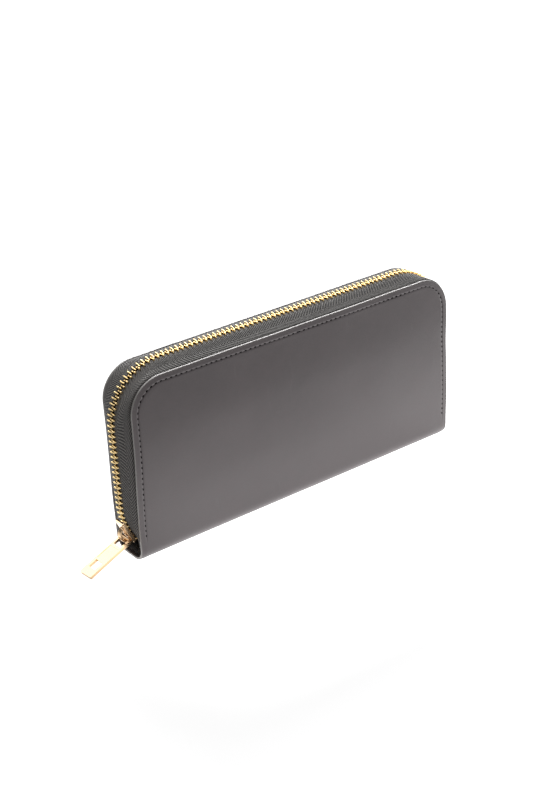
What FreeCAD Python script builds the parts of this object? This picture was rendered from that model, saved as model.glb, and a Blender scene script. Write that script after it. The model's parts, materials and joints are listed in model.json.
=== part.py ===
"""Long zip around wallet, standing on its spine.

Row frame, millimetres: +X along the wallet, +Y towards its back cover, +Z up.
The origin is the centre of the flat strip of the spine that the wallet stands on.
The zip runs up the left side, over the top and down the right side. Its slider is
parked at the lower left end, so the wallet is closed.
"""
import FreeCAD, Part
import math
import os

from FreeCAD import Placement, Rotation, Vector

os.makedirs("parts", exist_ok=True)

# ---- Driving dimensions ----
panel_length = 195.0  # leather panel, along X
panel_height = 94.5  # top edge of the panels above the table
closed_depth = 26.0  # outside of one cover to outside of the other, along the top
lean = 1.05  # each cover leans outwards from its fold, degrees
panel_corner = 17.5  # radius of the panels' top corners
spine_radius = 7.0  # outside radius where a cover turns into the spine

# ---- Layers, from the outside in ----
leather = 1.4
board = 0.5
lining = 0.4
card_leather = 0.6
slot_leather = 0.55
slot_tiers = 4
tape = 0.5

# ---- Main zip ----
zip_bulge = 2.6  # chain centre line outside the panel edge
zip_corner = 28.0  # radius of the chain at the top corners
tuck_radius = 30.0  # the chain's lower ends curve in towards the spine
tuck_start = 28.0  # height where they begin to curve
tuck_end_angle = 42.0  # angle of the tape's cut end, degrees
tail_height = 34.0  # below this height the zip flexes
tooth_pitch = 2.7
tooth_thick = 1.05
tooth_head = 0.9  # reach of a tooth past the chain's centre line
tooth_foot = 2.7  # where a tooth's legs end
tooth_half_height = 1.2
tape_edge = 1.0  # the tape's edge, inside the teeth

# ---- Main slider ----
slider_angle = 25.0  # where it is parked on the tucked arc, degrees
slider_tail, slider_mouth = 6.0, 6.4  # how far its plates reach up and down the zip
slider_half_tail, slider_half_mouth = 3.4, 4.2
slider_channel, slider_plate = 1.85, 0.75  # half the gap between its plates, their thickness
slider_flange = 0.6
slider_slot = 0.95  # half the gap along each side that the tapes pass through
hoop_middle, hoop_radius, hoop_sink = 2.0, 4.5, 0.7
hoop_strap, hoop_half_width = 0.9, 1.3
pivot_along, pivot_over = 4.3, 1.1  # the pull's bar, from the slider's middle and its outer plate
clamp_gap = 7.4  # from the slider's middle to the clamps on the tapes' ends
pull_length = 26.6
pull_width = 8.4
pull_thick = 1.6
pull_swing = 4.5  # the pull lies turned a little towards the front cover, degrees

# ---- Stitching on the covers ----
stitch_inset = 3.2
stitch_pitch = 2.8
stitch_length = 2.1
stitch_low = 13.0
groove_width = 0.7
groove_depth = 0.35

# ---- Coin pouch in the middle ----
pouch_half_length = 88.0
pouch_half_depth = 2.9
pouch_wall = 0.6
pouch_end_wall = 1.2
pouch_bottom = 3.6
pouch_top = 71.0
coin_chain_height = 75.0
coin_pitch = 2.0

# ---- Worked out from the above ----
half_length = panel_length / 2
hinge_z = spine_radius
cover_out = closed_depth / 2 - (panel_height - hinge_z) * math.tan(math.radians(lean))
hinge_y = cover_out - spine_radius
cover_in = cover_out - leather
board_in = cover_in - board
lining_in = board_in - lining
card_in = lining_in - card_leather
slots_in = card_in - slot_tiers * slot_leather
chain_half = half_length + zip_bulge
chain_top = panel_height + zip_bulge
card_half_length = 92.0
card_bottom = 12.0
card_top = 86.0
gusset_low, gusset_high, gusset_cloth = 13.0, 68.0, 0.4


def save(name, shape):
    """Writes one node, and stops if it isn't made of good solids."""
    if not shape.isValid() or not shape.Solids:
        raise ValueError(name + " is not a valid solid")
    shape.exportStep("parts/" + name + ".step")
    print(name, len(shape.Solids), round(shape.Volume, 1))


def line(a, b):
    return Part.LineSegment(a, b).toShape()


def arc(a, middle, b):
    return Part.Arc(a, middle, b).toShape()


def lean_out(shape):
    """Turns what was drawn upright at the front about the front cover's fold."""
    turned = shape.copy()
    turned.rotate(Vector(0, -hinge_y, hinge_z), Vector(1, 0, 0), lean)
    return turned


def mirror_y(shape):
    return shape.mirror(Vector(0, 0, 0), Vector(0, 1, 0))


def mirror_x(shape):
    return shape.mirror(Vector(0, 0, 0), Vector(1, 0, 0))


def block(x0, x1, y0, y1, z0, z1):
    return Part.makeBox(x1 - x0, y1 - y0, z1 - z0, Vector(x0, y0, z0))


def box_around(x0, x1, half_y, z0, z1):
    return block(x0, x1, -half_y, half_y, z0, z1)


def prism_y(edges, y0, y1):
    """A closed outline drawn in the plane y = 0, as a solid from y0 to y1."""
    face = Part.Face(Part.Wire(edges))
    solid = face.extrude(Vector(0, y1 - y0, 0))
    solid.translate(Vector(0, y0, 0))
    return solid


def arch_edges(half, bottom, top, radius):
    """Up the left side, round the top corners and down the right side."""
    k = radius * (1 - math.sqrt(0.5))
    low_left, low_right = Vector(-half, 0, bottom), Vector(half, 0, bottom)
    high_left, high_right = Vector(-half, 0, top - radius), Vector(half, 0, top - radius)
    top_left, top_right = Vector(-half + radius, 0, top), Vector(half - radius, 0, top)
    return [
        line(low_left, high_left),
        arc(high_left, Vector(-half + k, 0, top - k), top_left),
        line(top_left, top_right),
        arc(top_right, Vector(half - k, 0, top - k), high_right),
        line(high_right, low_right),
    ]


def arch_plate(half, bottom, top, radius, y0, y1):
    edges = arch_edges(half, bottom, top, radius)
    edges.append(line(Vector(half, 0, bottom), Vector(-half, 0, bottom)))
    return prism_y(edges, y0, y1)


def panel_plate(inset, bottom, y0, y1):
    """A plate of the panel's outline, smaller all round by inset."""
    radius = max(panel_corner - inset, 2.0)
    return arch_plate(half_length - inset, bottom, panel_height - inset, radius, y0, y1)


def chain_arch(offset, bottom, y0, y1):
    """A plate out to the chain's centre line, or past it by offset."""
    return arch_plate(
        chain_half + offset, bottom, chain_top + offset, zip_corner + offset, y0, y1
    )


# ---- The zip's centre line, as pieces that are straight or turn one way ----
def zip_pieces(from_angle, to_angle):
    """(length, start direction, turn per millimetre) from the left end to the right end."""
    side = chain_top - zip_corner - tuck_start
    corner = math.pi / 2 * zip_corner
    return [
        (tuck_radius * math.radians(from_angle), 90 + from_angle, -math.degrees(1 / tuck_radius)),
        (side, 90.0, 0.0),
        (corner, 90.0, -math.degrees(1 / zip_corner)),
        (2 * (chain_half - zip_corner), 0.0, 0.0),
        (corner, 0.0, -math.degrees(1 / zip_corner)),
        (side, -90.0, 0.0),
        (tuck_radius * math.radians(to_angle), -90.0, -math.degrees(1 / tuck_radius)),
    ]


def tuck_point(angle, radius=tuck_radius):
    """A point on the left tucked arc; angle 0 is where it leaves the straight side."""
    turn = math.radians(angle)
    centre_x = -chain_half + tuck_radius
    return Vector(
        centre_x - radius * math.cos(turn), 0, tuck_start - radius * math.sin(turn)
    )


def zip_point(pieces, start, distance):
    """The point and direction, in degrees, at a distance along the zip."""
    x, z = start.x, start.z
    for length, direction, turn in pieces:
        run = min(distance, length)
        a0 = math.radians(direction)
        a1 = math.radians(direction + turn * run)
        if turn:
            k = math.radians(turn)
            x += (math.sin(a1) - math.sin(a0)) / k
            z -= (math.cos(a1) - math.cos(a0)) / k
        else:
            x += run * math.cos(a0)
            z += run * math.sin(a0)
        distance -= run
        if distance <= 0:
            break
    return Vector(x, 0, z), math.degrees(a1)


def place_along(shape, point, direction):
    """Turns a shape drawn along +X with its outside at +Z onto the zip."""
    placed = shape.copy()
    placed.Placement = Placement(point, Rotation(Vector(0, 1, 0), -direction))
    return placed


# ---- Covers, boards and linings ----
def cover_panel():
    """The leather of one cover, with a pressed channel for its stitches."""
    panel = panel_plate(0, hinge_z, -cover_out, -cover_in)
    outer = panel_plate(
        stitch_inset - groove_width / 2, stitch_low, -cover_out, -cover_out + groove_depth
    )
    inner = panel_plate(
        stitch_inset + groove_width / 2,
        stitch_low - 1,
        -cover_out - 1,
        -cover_out + groove_depth + 1,
    )
    return panel.cut(outer.cut(inner))


def stitches():
    """Thread lying in the cover's channel, one short length for each stitch."""
    half = half_length - stitch_inset
    top = panel_height - stitch_inset
    radius = panel_corner - stitch_inset
    side = top - radius - stitch_low
    corner = math.pi / 2 * radius
    pieces = [
        (side, 90.0, 0.0),
        (corner, 90.0, -math.degrees(1 / radius)),
        (2 * (half - radius), 0.0, 0.0),
        (corner, 0.0, -math.degrees(1 / radius)),
        (side, -90.0, 0.0),
    ]
    total = sum(p[0] for p in pieces)
    count = int(total // stitch_pitch)
    start = Vector(-half, 0, stitch_low)
    bottom = -cover_out + groove_depth
    thread = block(
        -stitch_length / 2, stitch_length / 2, bottom - 0.3, bottom, -0.25, 0.25
    )
    made = []
    for i in range(count):
        point, direction = zip_point(pieces, start, (i + 0.5) * total / count)
        made.append(place_along(thread, point, direction))
    return Part.makeCompound(made)


def spine_strip(outside, thick, half_x):
    """A trough of sheet along X: flat below, with a rounded side up to each cover's foot."""
    inside = outside - thick
    foot, middle = math.radians(lean), math.radians((lean + 90) / 2)

    def at(radius, angle, side):
        y = side * (hinge_y + radius * math.cos(angle))
        return Vector(0, y, hinge_z - radius * math.sin(angle))

    low = math.radians(90)
    edges = [line(at(outside, low, -1), at(outside, low, 1))]
    for side in (1, -1):
        edges.append(arc(at(outside, low, side), at(outside, middle, side), at(outside, foot, side)))
        edges.append(line(at(outside, foot, side), at(inside, foot, side)))
        edges.append(arc(at(inside, foot, side), at(inside, middle, side), at(inside, low, side)))
    edges.append(line(at(inside, low, 1), at(inside, low, -1)))
    face = Part.Face(Part.Wire(Part.sortEdges(edges)[0]))
    solid = face.extrude(Vector(2 * half_x, 0, 0))
    solid.translate(Vector(-half_x, 0, 0))
    return solid


def make_covers():
    save("cover_spine", spine_strip(spine_radius, leather, half_length))
    save("spine_lining", spine_strip(spine_radius - leather, lining, half_length - 2.0))
    parts = {
        "cover": cover_panel(),
        "cover_stitches": stitches(),
        "stiffener": panel_plate(8.0, 14.0, -cover_in, -board_in),
        "lining": panel_plate(2.0, hinge_z + 0.5, -board_in, -lining_in),
        "card_panel": arch_plate(
            card_half_length, card_bottom, card_top, 10.0, -lining_in, -card_in
        ),
    }
    for name, shape in parts.items():
        save(name + "_front", lean_out(shape))
        save(name + "_back", mirror_y(lean_out(shape)))


def make_card_slots():
    """Tiers of full-length leather strips; a seam down the middle makes two columns."""
    first_top, step = 75.0, 12.0
    half = card_half_length - 3.0
    for tier in range(slot_tiers):
        top = first_top - tier * step
        y_out = card_in - tier * slot_leather
        strip = arch_plate(half, card_bottom + 1, top, 3.0, -y_out, -y_out + slot_leather)
        seam = box_around(-0.3, 0.3, 30.0, top - step + 1.5, top + 1)
        keep = block(-1, 1, -y_out + slot_leather - 0.2, 0, 0, panel_height)
        strip = lean_out(strip.cut(seam.common(keep)))
        save("card_slot_%d_front" % (tier + 1), strip)
        save("card_slot_%d_back" % (tier + 1), mirror_y(strip))


# ---- Zip tapes ----
def main_tape():
    """One tape: a flange sewn under the cover's edge and a band across to the teeth."""
    band = chain_arch(tape / 2, tail_height, -closed_depth, -tape_edge).cut(
        chain_arch(-tape / 2, tail_height - 1, -closed_depth - 1, 0)
    )
    outside = block(
        -panel_length, panel_length, -2 * closed_depth, -cover_in, -panel_height, 2 * panel_height
    )
    band = band.cut(lean_out(outside))
    flange = chain_arch(tape / 2, tail_height, -cover_in, -board_in).cut(
        panel_plate(7.0, tail_height - 1, -cover_in - 1, 0)
    )
    legs = panel_plate(0.3, card_bottom, -cover_in, -board_in).cut(
        panel_plate(7.0, card_bottom - 1, -cover_in - 1, 0)
    )
    return band.fuse([lean_out(flange), lean_out(legs)]).removeSplitter()


def tail_tape():
    """The left tape's lower end, which curves in between the covers and is cut off there."""
    outer, inner = tuck_radius + tape / 2, tuck_radius - tape / 2
    end, middle = tuck_end_angle, tuck_end_angle / 2
    top_out = Vector(-chain_half - tape / 2, 0, tail_height)
    top_in = Vector(-chain_half + tape / 2, 0, tail_height)
    edges = [
        arc(tuck_point(end, outer), tuck_point(middle, outer), tuck_point(0, outer)),
        line(tuck_point(0, outer), top_out),
        line(top_out, top_in),
        line(top_in, tuck_point(0, inner)),
        arc(tuck_point(0, inner), tuck_point(middle, inner), tuck_point(end, inner)),
        line(tuck_point(end, inner), tuck_point(end, outer)),
    ]
    band = prism_y(edges, -lining_in + 0.3, -tape_edge)
    # Below the hinge line the spine's trough narrows, and the tape with it.
    room = spine_radius - leather - lining - 0.4
    trough = box_around(-150, 0, hinge_y, hinge_z - room, hinge_z)
    for side in (-1, 1):
        trough = trough.fuse(
            Part.makeCylinder(room, 150, Vector(-150, side * hinge_y, hinge_z), Vector(1, 0, 0))
        )
    low = box_around(-150, 0, cover_out, -1, hinge_z)
    return band.cut(low.cut(trough))


# ---- Teeth ----
def tooth(head, foot, half_height, thick, slot, slot_from):
    """One tooth on the front tape: a head and two legs that clamp the tape's edge."""
    body = block(-thick / 2, thick / 2, -foot, head, -half_height, half_height)
    return body.cut(block(-thick, thick, -foot - 1, -slot_from, -slot / 2, slot / 2))


def make_main_teeth():
    start_angle = slider_angle + 0.4
    pieces = zip_pieces(start_angle, slider_angle - 3)
    total = sum(p[0] for p in pieces)
    start = tuck_point(start_angle)
    split = pieces[0][0] + tail_height - tuck_start
    right_split = total - pieces[-1][0] - (tail_height - tuck_start)
    front = tooth(
        tooth_head, tooth_foot, tooth_half_height, tooth_thick, tape + 0.1, tape_edge
    )
    for side, shape, lag in (("front", front, 0.0), ("back", mirror_y(front), 0.5)):
        groups = {"slider_end": [], "main": [], "stop_end": []}
        for i in range(int(total / tooth_pitch - lag) + 1):
            along = (i + lag) * tooth_pitch
            point, direction = zip_point(pieces, start, along)
            margin = tooth_thick / 2
            if along < split - margin:
                place = "slider_end"
            elif along < right_split + margin:
                place = "main"
            else:
                place = "stop_end"
            groups[place].append(place_along(shape, point, direction))
        save("zip_teeth_" + side, Part.makeCompound(groups["main"]))
        save("zip_teeth_%s_slider_end" % side, Part.makeCompound(groups["slider_end"]))
        save("zip_teeth_%s_stop_end" % side, Part.makeCompound(groups["stop_end"]))


def make_zip_tapes():
    tape_front = main_tape()
    tail_front = tail_tape()
    save("zip_tape_front", tape_front)
    save("zip_tape_back", mirror_y(tape_front))
    save("zip_tape_front_slider_end", tail_front)
    save("zip_tape_back_slider_end", mirror_y(tail_front))
    save("zip_tape_front_stop_end", mirror_x(tail_front))
    save("zip_tape_back_stop_end", mirror_y(mirror_x(tail_front)))


def make_zip_stops():
    """A clamp on each tape's end below the slider, and one across both at the far end."""
    clamp = tooth(-tape_edge - 0.1, tooth_foot, 1.1, 1.5, tape + 0.1, tape_edge)
    at = slider_angle + math.degrees(clamp_gap / tuck_radius)
    low = place_along(clamp, tuck_point(at), 90 + at)
    save("top_stop_front", low)
    save("top_stop_back", mirror_y(low))
    bridge = box_around(-1.1, 1.1, tooth_foot + 0.3, -1.4, 1.4)
    for side in (-1, 1):
        near, far = sorted((side * (tape_edge - 0.1), side * 6.0))
        bridge = bridge.cut(block(-2, 2, near, far, -tape / 2 - 0.1, tape / 2 + 0.1))
    stop_angle = slider_angle + 1.0
    point = tuck_point(stop_angle)
    right = place_along(bridge, Vector(-point.x, 0, point.z), -90 - stop_angle)
    save("bottom_stop", right)


# ---- Sliders and pulls, drawn with the mouth at +X and the outside at +Z ----
def rounded_plan(points, radius, z0, z1):
    """A solid from z0 to z1 with a polygon's plan and rounded corners."""
    corners = [Vector(x, y, z0) for x, y in points]
    wire = Part.makePolygon(corners + corners[:1])
    face = Part.Face(wire.makeOffset2D(-radius).makeOffset2D(radius))
    return face.extrude(Vector(0, 0, z1 - z0))


def slider_body(tail, mouth, half_tail, half_mouth, channel, plate, flange, slot):
    """Two plates with turned-in edges, joined by the wedge that parts the teeth."""
    height = channel + plate
    waist = tail * 0.2
    plan = [
        (-tail, -half_tail),
        (waist, -half_tail),
        (mouth, -half_mouth),
        (mouth, half_mouth),
        (waist, half_tail),
        (-tail, half_tail),
    ]
    body = rounded_plan(plan, plate, -height, height)
    spread = (half_mouth - half_tail) / (mouth - waist)
    inner_tail, far = half_tail - flange, 2.0
    inner_mouth = half_mouth - flange + spread * far
    inside = [
        Vector(-tail - far, -inner_tail, -channel),
        Vector(waist, -inner_tail, -channel),
        Vector(mouth + far, -inner_mouth, -channel),
        Vector(mouth + far, inner_mouth, -channel),
        Vector(waist, inner_tail, -channel),
        Vector(-tail - far, inner_tail, -channel),
    ]
    hollow = Part.Face(Part.makePolygon(inside + inside[:1])).extrude(
        Vector(0, 0, 2 * channel)
    )
    body = body.cut(hollow).cut(box_around(-20, 20, 20, -slot, slot))
    nose, wide = mouth * 0.32, half_mouth * 0.2
    wedge = [
        Vector(nose, 0, -channel - plate / 2),
        Vector(mouth * 0.72, -wide, -channel - plate / 2),
        Vector(mouth * 0.95, -wide * 0.8, -channel - plate / 2),
        Vector(mouth * 0.95, wide * 0.8, -channel - plate / 2),
        Vector(mouth * 0.72, wide, -channel - plate / 2),
    ]
    post = Part.Face(Part.makePolygon(wedge + wedge[:1])).extrude(
        Vector(0, 0, 2 * channel + plate)
    )
    return body.fuse(post).removeSplitter()


def slider_bridge(middle, outer, strap, half_width, base, sink):
    """The arch over the outer plate that holds the pull; sink lowers its centre."""
    centre = Vector(middle, -half_width, base - sink)
    ring = Part.makeCylinder(outer, 2 * half_width, centre, Vector(0, 1, 0)).cut(
        Part.makeCylinder(outer - strap, 2 * half_width, centre, Vector(0, 1, 0))
    )
    return ring.cut(box_around(-20, 20, 20, base - 20, base))


def pull_tab(length, width, thick, bar, window, rail, low_window, rim):
    """A flat pull with an open frame at the bar end and a small window near its tip."""
    half, h = width / 2, thick / 2
    plate = rounded_plan(
        [(0, -half), (length, -half), (length, half), (0, half)], 0.5, -h, h
    )
    inner = half - rail
    plate = plate.cut(box_around(-5, window, inner, -h - 1, h + 1))
    plate = plate.cut(block(-5, 0, -half - 1, half + 1, -h - 1, h + 1))
    end, size = low_window
    plate = plate.cut(box_around(length - end - size, length - end, size / 2, -h - 1, h + 1))
    recess = box_around(window + 1.6, length - end - size - 1.2, half - rim, h - 0.12, h + 1)
    plate = plate.cut(recess).cut(recess.mirror(Vector(0, 0, 0), Vector(0, 0, 1)))
    groove = block(length - 0.3, length + 1, -half - 1, half + 1, -0.13, 0.13)
    plate = plate.cut(groove)
    for y in (-half, inner):
        plate = plate.fuse(Part.makeCylinder(h, rail, Vector(0, y, 0), Vector(0, 1, 0)))
    plate = plate.fuse(
        Part.makeCylinder(bar, 2 * inner + 0.4, Vector(0, -inner - 0.2, 0), Vector(0, 1, 0))
    )
    return plate


def make_main_slider():
    body = slider_body(
        slider_tail,
        slider_mouth,
        slider_half_tail,
        slider_half_mouth,
        slider_channel,
        slider_plate,
        slider_flange,
        slider_slot,
    )
    outside = slider_channel + slider_plate
    bridge = slider_bridge(
        hoop_middle, hoop_radius, hoop_strap, hoop_half_width, outside, hoop_sink
    )
    spring = box_around(-1.2, 2.7, 0.9, outside, outside + 0.35)
    home, direction = tuck_point(slider_angle), 270 + slider_angle
    # The mouth points down the zip, and the outside points away from the wallet.
    turn = Rotation(Vector(0, 1, 0), -direction)
    flip = Rotation(Vector(1, 0, 0), 180)
    place = Placement(home, turn.multiply(flip))
    for name, shape in (
        ("slider_body", body),
        ("slider_bridge", bridge),
        ("slider_lock_spring", spring),
    ):
        shape.Placement = place
        save(name, shape)
    pivot = place.multVec(Vector(pivot_along, 0, outside + pivot_over))
    half = pull_thick / 2
    reach = math.hypot(pull_length, half)
    droop = math.asin(pivot.z / reach) - math.atan2(half, pull_length)
    tab = pull_tab(pull_length, pull_width, pull_thick, 0.6, 5.8, 1.5, (4.4, 5.0), 1.0)
    lie = Rotation(Vector(0, 1, 0), 180 - math.degrees(droop))
    tab.Placement = Placement(pivot, Rotation(Vector(0, 0, 1), pull_swing).multiply(lie))
    save("pull_tab", tab)
    print("main pull pivot", pivot, "droop", math.degrees(droop))
    

# ---- Coin pouch ----
def make_pouch():
    outer = block(
        -pouch_half_length,
        pouch_half_length,
        -pouch_half_depth,
        pouch_half_depth,
        pouch_bottom,
        pouch_top,
    )
    inner = block(
        -pouch_half_length + pouch_end_wall,
        pouch_half_length - pouch_end_wall,
        -pouch_half_depth + pouch_wall,
        pouch_half_depth - pouch_wall,
        pouch_bottom + pouch_wall,
        pouch_top + 1,
    )
    save("coin_pouch", outer.cut(inner))


def make_coin_zip():
    half = pouch_half_length - 1.5
    bare_end, stop_gap = 7.5, 4.6  # tape past the last teeth, and from there to a stop's middle
    outer_y, chain_z = pouch_half_depth + tape, coin_chain_height
    strip = block(-half, half, -outer_y, -pouch_half_depth, pouch_top - 7, chain_z)
    top = block(-half, half, -outer_y, -0.7, chain_z - tape / 2, chain_z + tape / 2)
    coin_tape = strip.fuse(top).removeSplitter()
    save("coin_zip_tape_front", coin_tape)
    save("coin_zip_tape_back", mirror_y(coin_tape))
    small = tooth(0.65, 1.7, 0.95, 0.92, tape + 0.1, 0.7)
    first = -half + bare_end
    count = int((2 * half - 2 * bare_end) / coin_pitch) + 1
    for side, shape, lag in (("front", small, 0.0), ("back", mirror_y(small), 0.5)):
        made = []
        for i in range(count):
            copy = shape.copy()
            copy.translate(Vector(first + (i + lag) * coin_pitch, 0, coin_chain_height))
            made.append(copy)
        save("coin_zip_teeth_" + side, Part.makeCompound(made))
    last = first + (count - 0.5) * coin_pitch
    for name, x in (("left", first - stop_gap), ("right", last + coin_pitch)):
        save("coin_zip_stop_" + name, box_around(x - 0.8, x + 0.8, 1.9, chain_z + tape / 2, chain_z + 1))
    channel, plate = 1.15, 0.55
    body = slider_body(3.4, 3.8, 2.3, 2.7, channel, plate, 0.45, 0.5)
    bridge = slider_bridge(0.2, 3.0, 0.6, 0.9, channel + plate, 0.7)
    # Parked at the left end, with its mouth to the left.
    home = Placement(Vector(first + 0.5, 0, coin_chain_height), Rotation(Vector(0, 0, 1), 180))
    pull = pull_tab(14.5, 5.4, 1.0, 0.45, 3.8, 1.1, (2.2, 2.4), 0.7)
    for name, shape in (("coin_slider_body", body), ("coin_slider_bridge", bridge)):
        shape.Placement = home
        save(name, shape)
    pivot = home.multVec(Vector(-1.0, 0, channel + plate + 0.65))
    pull.Placement = Placement(pivot, Rotation())
    save("coin_pull_tab", pull)
    print("coin pull pivot", pivot)


# ---- Gussets: cloth folded in a V at each end, between a card panel and the pouch ----
def make_gussets():
    outer_y, inner_y = slots_in - 0.25, pouch_half_depth + 0.3
    middle_y = (outer_y + inner_y) / 2
    rim_x, fold_x = card_half_length - 2.5, card_half_length - 9.5
    plan = [
        (-rim_x, -outer_y),
        (-fold_x, -middle_y - gusset_cloth / 2),
        (-fold_x, -middle_y + gusset_cloth / 2),
        (-rim_x, -inner_y),
        (-rim_x, -inner_y - gusset_cloth),
        (-fold_x - 1.5, -middle_y),
        (-rim_x, -outer_y + gusset_cloth),
    ]
    corners = [Vector(x, y, gusset_low) for x, y in plan]
    face = Part.Face(Part.makePolygon(corners + corners[:1]))
    left_front = face.extrude(Vector(0, 0, gusset_high - gusset_low))
    save("gusset_left_front", left_front)
    save("gusset_left_back", mirror_y(left_front))
    save("gusset_right_front", mirror_x(left_front))
    save("gusset_right_back", mirror_y(mirror_x(left_front)))


make_covers()
make_card_slots()
make_zip_tapes()
make_main_teeth()
make_zip_stops()
make_main_slider()
make_pouch()
make_coin_zip()
make_gussets()
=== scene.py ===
"""Long zip around wallet in smooth black leather, closed and standing on its spine.

Metres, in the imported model's frame: +X along the wallet, +Y towards its back, +Z up.
"""
import json
import math

import bmesh
import bpy
import numpy as np
from mathutils import Matrix, Vector, noise


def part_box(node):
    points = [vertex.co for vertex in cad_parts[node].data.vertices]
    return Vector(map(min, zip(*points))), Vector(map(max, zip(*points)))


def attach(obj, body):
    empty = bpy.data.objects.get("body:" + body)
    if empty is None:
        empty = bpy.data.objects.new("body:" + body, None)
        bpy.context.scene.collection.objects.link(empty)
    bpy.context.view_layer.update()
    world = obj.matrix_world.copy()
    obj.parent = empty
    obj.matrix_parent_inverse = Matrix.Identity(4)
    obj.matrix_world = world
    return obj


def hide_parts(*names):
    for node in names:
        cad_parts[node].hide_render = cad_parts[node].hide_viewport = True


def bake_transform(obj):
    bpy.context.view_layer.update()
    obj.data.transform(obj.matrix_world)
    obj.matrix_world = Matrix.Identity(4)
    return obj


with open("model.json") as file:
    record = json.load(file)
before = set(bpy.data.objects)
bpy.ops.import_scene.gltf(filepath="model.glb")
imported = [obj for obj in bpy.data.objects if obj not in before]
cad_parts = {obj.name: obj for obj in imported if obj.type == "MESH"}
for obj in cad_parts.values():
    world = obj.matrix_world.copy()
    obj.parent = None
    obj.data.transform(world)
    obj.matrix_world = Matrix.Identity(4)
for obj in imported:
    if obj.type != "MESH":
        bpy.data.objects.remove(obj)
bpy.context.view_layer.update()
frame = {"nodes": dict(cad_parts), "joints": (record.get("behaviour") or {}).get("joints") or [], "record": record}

MM = 0.001
CORNER_STEPS = 14

# ---- Sizes read from the frame ----
joints = {j["name"]: j for j in frame["joints"]}
fold = Vector(joints["front_open"]["pos_m"])
fold_y, spine_radius = -fold.y, fold.z
cover_low, cover_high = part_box("cover_front")
half_length, panel_top = cover_high.x, cover_high.z
lean = math.atan((-cover_low.y - fold_y - spine_radius) / (panel_top - spine_radius))
tape_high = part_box("zip_tape_front")[1]
tape_thick = 0.5 * MM
chain_half, chain_top = tape_high.x - tape_thick / 2, tape_high.z - tape_thick / 2
tuck_centre = Vector(joints["slider_travel"]["pos_m"])
tuck_radius = chain_half + tuck_centre.x
slider_angle = math.radians(joints["slider_travel"]["range_deg"][1])
coin_chain_z = (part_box("coin_zip_teeth_front")[0].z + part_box("coin_zip_teeth_front")[1].z) / 2

# ---- Sizes of what is modelled here ----
leather = 1.4 * MM
panel_corner = 17.5 * MM
zip_corner = 28 * MM
tooth_pitch = 2.7 * MM
coin_pitch = 2.0 * MM
tuck_end = math.radians(42)  # how far the tapes go round the bend at each end
side_pull = 0.9 * MM  # how far the zip draws in each end of a cover
swell = 0.9 * MM  # how far a cover's middle stands out
stitch_inset = 3.2 * MM
stitch_low = 13 * MM
stitch_pitch = 2.8 * MM
cover_thread = (1.35 * MM, 0.27 * MM)  # length and radius of one stitch
slot_thread = (1.6 * MM, 0.16 * MM)
slot_seam_inset = 2.2 * MM
slot_seam_length = 11 * MM
slot_seam_drop = 12 * MM  # from a slot's top edge to where its stitches start
board = 0.5 * MM
lining_inset = 2.0 * MM
pouch_end = 87.6 * MM  # where a gusset is sewn to the pouch
pouch_side = 2.9 * MM
gusset_gap = 0.2 * MM
inner_ripple = 0.12 * MM  # how far the layers inside a cover stand off their flat places
inner_round = 0.2 * MM  # rounding of the card leather's edges
groove_depth = 0.2 * MM
cloth_thick = 0.3 * MM
inner_gap = 0.06 * MM  # between the lining cloth and what it lies on
coin_tooth_scale = 0.66  # a coin zip's tooth beside one of the main zip
coin_tape_bend = 0.8 * MM


# ---- Mesh helpers ----
def add_object(name, verts, faces, smooth=True):
    mesh = bpy.data.meshes.new(name)
    mesh.from_pydata([tuple(v) for v in verts], [], [tuple(f) for f in faces])
    mesh.validate()
    obj = bpy.data.objects.new(name, mesh)
    bpy.context.scene.collection.objects.link(obj)
    if smooth:
        mesh.polygons.foreach_set("use_smooth", [True] * len(mesh.polygons))
    return obj


def face_outwards(obj):
    """Makes the faces of a closed mesh all face out."""
    bm = bmesh.new()
    bm.from_mesh(obj.data)
    bmesh.ops.recalc_face_normals(bm, faces=bm.faces)
    bm.to_mesh(obj.data)
    bm.free()
    return obj


def shell_faces(rows, width):
    """Faces of a thin closed sheet, whose rows have width points on one side, then on the other."""
    row = 2 * width
    faces = []
    for k in range(rows - 1):
        for i in range(width - 1):
            for side in (0, 1):
                a = k * row + side * width + i
                faces.append((a, a + 1, a + row + 1, a + row))
        for i in (0, width - 1):
            a = k * row + i
            faces.append((a, a + width, a + row + width, a + row))
    for k in (0, rows - 1):
        for i in range(width - 1):
            a = k * row + i
            faces.append((a, a + 1, a + width + 1, a + width))
    return faces


def set_map(obj, places):
    """Gives the mesh one map, with a place for each vertex."""
    layer = obj.data.uv_layers.new(name="along_across")
    for loop in obj.data.loops:
        layer.data[loop.index].uv = places[loop.vertex_index]


def smoothstep(low, high, value):
    t = min(max((value - low) / (high - low), 0.0), 1.0)
    return t * t * (3 - 2 * t)


def finish_piece(obj, material, slot, body, *nodes):
    obj.data.materials.append(material)
    if nodes:
        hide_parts(*nodes)
    if body:
        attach(obj, body)
    return obj


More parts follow.
